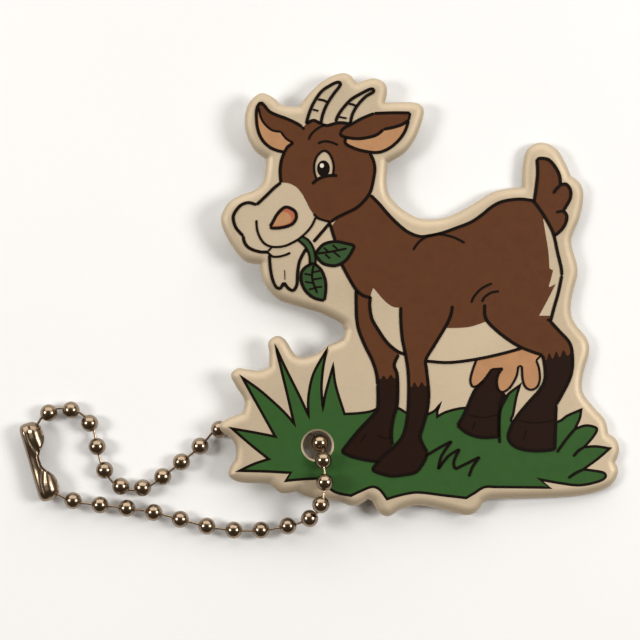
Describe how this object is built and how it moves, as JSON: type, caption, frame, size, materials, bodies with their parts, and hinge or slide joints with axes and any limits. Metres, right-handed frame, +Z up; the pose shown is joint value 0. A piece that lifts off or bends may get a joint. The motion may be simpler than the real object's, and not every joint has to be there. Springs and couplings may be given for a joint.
{
  "type": "printed metal tag on a ball chain",
  "caption": "Flat metal tag cut to the outline of a standing goat on grass, printed in colour, on a closed loop of ball chain with a folded clasp.",
  "frame": {"origin": "centre of the whole piece's footprint, on the surface that it lies on", "axes": "the piece lies face up: +X along its length, from the chain's clasp to the goat's tail, +Y to the goat's horns, +Z up out of the printed face"},
  "size_m": [0.0835, 0.0648, 0.0069],
  "materials": {
    "tag_metal": "brushed, with a rolled polished edge",
    "tag_print": "printed lacquer, smooth",
    "bead_metal": "nickel plated, polished",
    "pin_wire": "nickel plated, drawn",
    "clasp_metal": "nickel plated, pressed from sheet"
  },
  "bodies": {
    "tag": {"tag_plate": "tag_metal"},
    "hole_bead": {"hole_bead": "bead_metal"},
    "front_pin_01": {"front_pin_01": "pin_wire"},
    "front_bead_01": {"front_bead_01": "bead_metal"},
    "front_pin_02": {"front_pin_02": "pin_wire"},
    "front_bead_02": {"front_bead_02": "bead_metal"},
    "front_pin_03": {"front_pin_03": "pin_wire"},
    "front_bead_03": {"front_bead_03": "bead_metal"},
    "front_pin_04": {"front_pin_04": "pin_wire"},
    "front_bead_04": {"front_bead_04": "bead_metal"},
    "front_pin_05": {"front_pin_05": "pin_wire"},
    "front_bead_05": {"front_bead_05": "bead_metal"},
    "front_pin_06": {"front_pin_06": "pin_wire"},
    "front_bead_06": {"front_bead_06": "bead_metal"},
    "front_pin_07": {"front_pin_07": "pin_wire"},
    "front_bead_07": {"front_bead_07": "bead_metal"},
    "front_pin_08": {"front_pin_08": "pin_wire"},
    "front_bead_08": {"front_bead_08": "bead_metal"},
    "front_pin_09": {"front_pin_09": "pin_wire"},
    "front_bead_09": {"front_bead_09": "bead_metal"},
    "front_pin_10": {"front_pin_10": "pin_wire"},
    "front_bead_10": {"front_bead_10": "bead_metal"},
    "front_pin_11": {"front_pin_11": "pin_wire"},
    "front_bead_11": {"front_bead_11": "bead_metal"},
    "front_pin_12": {"front_pin_12": "pin_wire"},
    "front_bead_12": {"front_bead_12": "bead_metal"},
    "front_pin_13": {"front_pin_13": "pin_wire"},
    "front_bead_13": {"front_bead_13": "bead_metal"},
    "front_pin_14": {"front_pin_14": "pin_wire"},
    "clasp": {"clasp": "clasp_metal", "clasp_end_beads": "bead_metal"},
    "back_pin_15": {"back_pin_15": "pin_wire"},
    "back_pin_01": {"back_pin_01": "pin_wire"},
    "back_bead_01": {"back_bead_01": "bead_metal"},
    "back_pin_02": {"back_pin_02": "pin_wire"},
    "back_bead_02": {"back_bead_02": "bead_metal"},
    "back_pin_03": {"back_pin_03": "pin_wire"},
    "back_bead_03": {"back_bead_03": "bead_metal"},
    "back_pin_04": {"back_pin_04": "pin_wire"},
    "back_bead_04": {"back_bead_04": "bead_metal"},
    "back_pin_05": {"back_pin_05": "pin_wire"},
    "back_bead_05": {"back_bead_05": "bead_metal"},
    "back_pin_06": {"back_pin_06": "pin_wire"},
    "back_bead_06": {"back_bead_06": "bead_metal"},
    "back_pin_07": {"back_pin_07": "pin_wire"},
    "back_bead_07": {"back_bead_07": "bead_metal"},
    "back_pin_08": {"back_pin_08": "pin_wire"},
    "back_bead_08": {"back_bead_08": "bead_metal"},
    "back_pin_09": {"back_pin_09": "pin_wire"},
    "back_bead_09": {"back_bead_09": "bead_metal"},
    "back_pin_10": {"back_pin_10": "pin_wire"},
    "back_bead_10": {"back_bead_10": "bead_metal"},
    "back_pin_11": {"back_pin_11": "pin_wire"},
    "back_bead_11": {"back_bead_11": "bead_metal"},
    "back_pin_12": {"back_pin_12": "pin_wire"},
    "back_bead_12": {"back_bead_12": "bead_metal"},
    "back_pin_13": {"back_pin_13": "pin_wire"},
    "back_bead_13": {"back_bead_13": "bead_metal"},
    "back_pin_14": {"back_pin_14": "pin_wire"},
    "back_bead_14": {"back_bead_14": "bead_metal"}
  },
  "joints": [
    {"name": "hole_bead_turn", "type": "hinge", "parent": "tag", "child": "hole_bead", "pos_m": [-0.00024, -0.01935, 0.00307], "axis": [0.055, 0, 0.9985], "range_deg": [-12, 12]},
    {"name": "front_pin_01_swing", "type": "hinge", "parent": "hole_bead", "child": "front_pin_01", "pos_m": [0.00058, -0.01969, 0.00361], "axis": [0.0596, 0.8111, 0.5819], "range_deg": [0, 6]},
    {"name": "front_bead_01_nod", "type": "hinge", "parent": "front_pin_01", "child": "front_bead_01", "pos_m": [0.00053, -0.02032, 0.00448], "axis": [0.9973, -0.0732, 0], "range_deg": [-25, 0]},
    {"name": "front_pin_02_swing", "type": "hinge", "parent": "front_bead_01", "child": "front_pin_02", "pos_m": [0.00067, -0.02228, 0.00558], "axis": [0.0089, -0.0567, -0.9983], "range_deg": [-12, 0]},
    {"name": "front_bead_02_nod", "type": "hinge", "parent": "front_pin_02", "child": "front_bead_02", "pos_m": [0.00081, -0.02318, 0.00563], "axis": [-0.9879, -0.1549, 0], "range_deg": [-6, 25]},
    {"name": "front_pin_03_swing", "type": "hinge", "parent": "front_bead_02", "child": "front_pin_03", "pos_m": [0.00079, -0.02542, 0.00579], "axis": [0.014, 0.0795, 0.9967], "range_deg": [0, 25]},
    {"name": "front_bead_03_nod", "type": "hinge", "parent": "front_pin_03", "child": "front_bead_03", "pos_m": [0.00061, -0.02643, 0.00587], "axis": [0.9848, -0.1739, 0], "range_deg": [-25, 1]},
    {"name": "front_pin_04_swing", "type": "hinge", "parent": "front_bead_03", "child": "front_pin_04", "pos_m": [-0.00011, -0.02837, 0.005], "axis": [0.4462, 0.6079, -0.6567], "range_deg": [-25, 0]},
    {"name": "front_bead_04_nod", "type": "hinge", "parent": "front_pin_04", "child": "front_bead_04", "pos_m": [-0.00058, -0.02902, 0.00408], "axis": [-0.8061, 0.5917, 0], "range_deg": [-25, 19]},
    {"name": "front_pin_05_swing", "type": "hinge", "parent": "front_bead_04", "child": "front_pin_05", "pos_m": [-0.00202, -0.02998, 0.00264], "axis": [-0.4454, -0.1579, 0.8813], "range_deg": [0, 25]},
    {"name": "front_bead_05_nod", "type": "hinge", "parent": "front_pin_05", "child": "front_bead_05", "pos_m": [-0.0033, -0.03044, 0.00191], "axis": [0.3342, -0.9425, 0], "range_deg": [-17, 25]},
    {"name": "front_pin_06_swing", "type": "hinge", "parent": "front_bead_05", "child": "front_pin_06", "pos_m": [-0.0054, -0.03096, 0.00131], "axis": [0.0516, 0.0082, -0.9986], "range_deg": [-25, 0]},
    {"name": "front_bead_06_nod", "type": "hinge", "parent": "front_pin_06", "child": "front_bead_06", "pos_m": [-0.00698, -0.03121, 0.00122], "axis": [-0.1572, 0.9876, 0], "range_deg": [-25, 25]},
    {"name": "front_pin_07_swing", "type": "hinge", "parent": "front_bead_06", "child": "front_pin_07", "pos_m": [-0.00922, -0.03139, 0.00118], "axis": [0.0115, 0, 0.9999], "range_deg": [0, 25]},
    {"name": "front_bead_07_nod", "type": "hinge", "parent": "front_pin_07", "child": "front_bead_07", "pos_m": [-0.01078, -0.03139, 0.00119], "axis": [-0.0016, -1, 0], "range_deg": [-25, 25]},
    {"name": "front_pin_08_swing", "type": "hinge", "parent": "front_bead_07", "child": "front_pin_08", "pos_m": [-0.01302, -0.03121, 0.00121], "axis": [0.0025, -0.0004, -1], "range_deg": [-25, 0]},
    {"name": "front_bead_08_nod", "type": "hinge", "parent": "front_pin_08", "child": "front_bead_08", "pos_m": [-0.01455, -0.03098, 0.0012], "axis": [0.1495, 0.9888, 0], "range_deg": [-25, 25]},
    {"name": "front_pin_09_swing", "type": "hinge", "parent": "front_bead_08", "child": "front_pin_09", "pos_m": [-0.01675, -0.03052, 0.0012], "axis": [0.0005, -0.0001, 1], "range_deg": [0, 25]},
    {"name": "front_bead_09_nod", "type": "hinge", "parent": "front_pin_09", "child": "front_bead_09", "pos_m": [-0.01827, -0.0301, 0.0012], "axis": [-0.2653, -0.9642, 0], "range_deg": [-25, 25]},
    {"name": "front_pin_10_swing", "type": "hinge", "parent": "front_bead_09", "child": "front_pin_10", "pos_m": [-0.02043, -0.0295, 0.0012], "axis": [-0.0001, 0, -1], "range_deg": [-25, 0]},
    {"name": "front_bead_10_nod", "type": "hinge", "parent": "front_pin_10", "child": "front_bead_10", "pos_m": [-0.02195, -0.02908, 0.0012], "axis": [0.267, 0.9637, 0], "range_deg": [-25, 25]},
    {"name": "front_pin_11_swing", "type": "hinge", "parent": "front_bead_10", "child": "front_pin_11", "pos_m": [-0.02415, -0.02862, 0.0012], "axis": [-0.0012, 0.0002, 1], "range_deg": [0, 25]},
    {"name": "front_bead_11_nod", "type": "hinge", "parent": "front_pin_11", "child": "front_bead_11", "pos_m": [-0.02568, -0.0284, 0.0012], "axis": [-0.143, -0.9897, 0], "range_deg": [-25, 25]},
    {"name": "front_pin_12_swing", "type": "hinge", "parent": "front_bead_11", "child": "front_pin_12", "pos_m": [-0.02792, -0.0281, 0.0012], "axis": [-0.0055, 0.0007, -1], "range_deg": [-25, 0]},
    {"name": "front_bead_12_nod", "type": "hinge", "parent": "front_pin_12", "child": "front_bead_12", "pos_m": [-0.02943, -0.02792, 0.00121], "axis": [0.119, 0.9929, 0], "range_deg": [-25, 25]},
    {"name": "front_pin_13_swing", "type": "hinge", "parent": "front_bead_12", "child": "front_pin_13", "pos_m": [-0.03167, -0.02768, 0.00119], "axis": [-0.025, 0.0024, 0.9997], "range_deg": [0, 25]},
    {"name": "front_bead_13_nod", "type": "hinge", "parent": "front_pin_13", "child": "front_bead_13", "pos_m": [-0.03323, -0.02753, 0.00115], "axis": [-0.0958, -0.9954, 0], "range_deg": [-24, 25]},
    {"name": "front_pin_14_swing", "type": "hinge", "parent": "front_bead_13", "child": "front_pin_14", "pos_m": [-0.03537, -0.02687, 0.00125], "axis": [-0.0986, 0.0539, -0.9937], "range_deg": [-25, 0]},
    {"name": "clasp_nod", "type": "hinge", "parent": "front_pin_14", "child": "clasp", "pos_m": [-0.03672, -0.02614, 0.00142], "axis": [0.4795, 0.8775, 0], "range_deg": [-21, 25]},
    {"name": "back_pin_15_swing", "type": "hinge", "parent": "clasp", "child": "back_pin_15", "pos_m": [-0.03942, -0.0168, 0.00142], "axis": [0.0597, 0.0981, 0.9934], "range_deg": [-25, 25]},
    {"name": "back_pin_01_swing", "type": "hinge", "parent": "hole_bead", "child": "back_pin_01", "pos_m": [-0.00038, -0.01841, 0.00203], "axis": [-0.3771, 0.2069, 0.9027], "range_deg": [-9, 0]},
    {"name": "back_bead_01_nod", "type": "hinge", "parent": "back_pin_01", "child": "back_bead_01", "pos_m": [-0.00154, -0.01777, 0.0014], "axis": [0.481, 0.8767, 0], "range_deg": [-25, 0]},
    {"name": "back_pin_02_swing", "type": "hinge", "parent": "back_bead_01", "child": "back_pin_02", "pos_m": [-0.00366, -0.01713, 0.001], "axis": [-0.0974, 0.0097, -0.9952], "range_deg": [0, 25]},
    {"name": "back_bead_02_nod", "type": "hinge", "parent": "back_pin_02", "child": "back_bead_02", "pos_m": [-0.00523, -0.01698, 0.00116], "axis": [-0.0988, -0.9951, 0], "range_deg": [-4, 25]},
    {"name": "back_pin_03_swing", "type": "hinge", "parent": "back_bead_02", "child": "back_pin_03", "pos_m": [-0.00747, -0.01682, 0.00124], "axis": [-0.0215, 0.0008, 0.9998], "range_deg": [-25, 0]},
    {"name": "back_bead_03_nod", "type": "hinge", "parent": "back_pin_03", "child": "back_bead_03", "pos_m": [-0.00903, -0.01676, 0.00121], "axis": [0.0384, 0.9993, 0], "range_deg": [-25, 7]},
    {"name": "back_pin_04_swing", "type": "hinge", "parent": "back_bead_03", "child": "back_pin_04", "pos_m": [-0.01127, -0.01674, 0.00119], "axis": [-0.0046, -0.0001, -1], "range_deg": [0, 25]},
    {"name": "back_bead_04_nod", "type": "hinge", "parent": "back_pin_04", "child": "back_bead_04", "pos_m": [-0.01289, -0.01676, 0.0012], "axis": [0.015, -0.9999, 0], "range_deg": [-14, 13]},
    {"name": "back_pin_05_swing", "type": "hinge", "parent": "back_bead_04", "child": "back_pin_05", "pos_m": [-0.01491, -0.01774, 0.0012], "axis": [-0.0007, -0.0009, 1], "range_deg": [-25, 0]},
    {"name": "back_bead_05_nod", "type": "hinge", "parent": "back_pin_05", "child": "back_bead_05", "pos_m": [-0.01579, -0.01881, 0.0012], "axis": [-0.7735, 0.6338, 0], "range_deg": [-25, 25]},
    {"name": "back_pin_06_swing", "type": "hinge", "parent": "back_bead_05", "child": "back_pin_06", "pos_m": [-0.01741, -0.02039, 0.0012], "axis": [-0.0002, -0.0002, -1], "range_deg": [0, 24]},
    {"name": "back_bead_06_nod", "type": "hinge", "parent": "back_pin_06", "child": "back_bead_06", "pos_m": [-0.01832, -0.0211, 0.0012], "axis": [0.6142, -0.7891, 0], "range_deg": [-25, 25]},
    {"name": "back_pin_07_swing", "type": "hinge", "parent": "back_bead_06", "child": "back_pin_07", "pos_m": [-0.02008, -0.0225, 0.0012], "axis": [-0.0001, -0.0001, 1], "range_deg": [-25, 0]},
    {"name": "back_bead_07_nod", "type": "hinge", "parent": "back_pin_07", "child": "back_bead_07", "pos_m": [-0.0209, -0.02317, 0.0012], "axis": [-0.6337, 0.7735, 0], "range_deg": [-25, 25]},
    {"name": "back_pin_08_swing", "type": "hinge", "parent": "back_bead_07", "child": "back_pin_08", "pos_m": [-0.0227, -0.02453, 0.0012], "axis": [0, 0, -1], "range_deg": [0, 25]},
    {"name": "back_bead_08_nod", "type": "hinge", "parent": "back_pin_08", "child": "back_bead_08", "pos_m": [-0.02352, -0.02509, 0.0012], "axis": [0.5657, -0.8246, 0], "range_deg": [-25, 25]},
    {"name": "back_pin_09_swing", "type": "hinge", "parent": "back_bead_08", "child": "back_pin_09", "pos_m": [-0.02568, -0.02571, 0.0012], "axis": [0, 0, 1], "range_deg": [-12, 0]},
    {"name": "back_bead_09_nod", "type": "hinge", "parent": "back_pin_09", "child": "back_bead_09", "pos_m": [-0.02663, -0.02568, 0.0012], "axis": [0.0382, 0.9993, 0], "range_deg": [-21, 21]},
    {"name": "back_pin_10_swing", "type": "hinge", "parent": "back_bead_09", "child": "back_pin_10", "pos_m": [-0.02867, -0.02472, 0.0012], "axis": [0.0001, -0.0001, -1], "range_deg": [0, 7]},
    {"name": "back_bead_10_nod", "type": "hinge", "parent": "back_pin_10", "child": "back_bead_10", "pos_m": [-0.02937, -0.02394, 0.0012], "axis": [-0.7419, -0.6705, 0], "range_deg": [-25, 25]},
    {"name": "back_pin_11_swing", "type": "hinge", "parent": "back_bead_10", "child": "back_pin_11", "pos_m": [-0.03043, -0.02196, 0.0012], "axis": [0.0002, -0.0006, 1], "range_deg": [-16, 0]},
    {"name": "back_bead_11_nod", "type": "hinge", "parent": "back_pin_11", "child": "back_bead_11", "pos_m": [-0.03072, -0.02075, 0.0012], "axis": [0.9716, 0.2366, 0], "range_deg": [-25, 25]},
    {"name": "back_pin_12_swing", "type": "hinge", "parent": "back_bead_11", "child": "back_pin_12", "pos_m": [-0.03118, -0.01855, 0.0012], "axis": [0.0004, -0.0026, -1], "range_deg": [0, 25]},
    {"name": "back_bead_12_nod", "type": "hinge", "parent": "back_pin_12", "child": "back_bead_12", "pos_m": [-0.03139, -0.01735, 0.0012], "axis": [-0.985, -0.1727, 0], "range_deg": [-20, 21]},
    {"name": "back_pin_13_swing", "type": "hinge", "parent": "back_bead_12", "child": "back_pin_13", "pos_m": [-0.03261, -0.01545, 0.0012], "axis": [0.0079, -0.0054, 1], "range_deg": [-25, 1]},
    {"name": "back_bead_13_nod", "type": "hinge", "parent": "back_pin_13", "child": "back_bead_13", "pos_m": [-0.03351, -0.01484, 0.00121], "axis": [0.5652, 0.8249, 0], "range_deg": [-22, 25]},
    {"name": "back_pin_14_swing", "type": "hinge", "parent": "back_bead_13", "child": "back_pin_14", "pos_m": [-0.03569, -0.01426, 0.00119], "axis": [0.0341, 0.003, -0.9994], "range_deg": [-11, 25]},
    {"name": "back_bead_14_nod", "type": "hinge", "parent": "back_pin_14", "child": "back_bead_14", "pos_m": [-0.03674, -0.01436, 0.00115], "axis": [0.0881, -0.9961, 0], "range_deg": [-11, 20]}
  ]
}
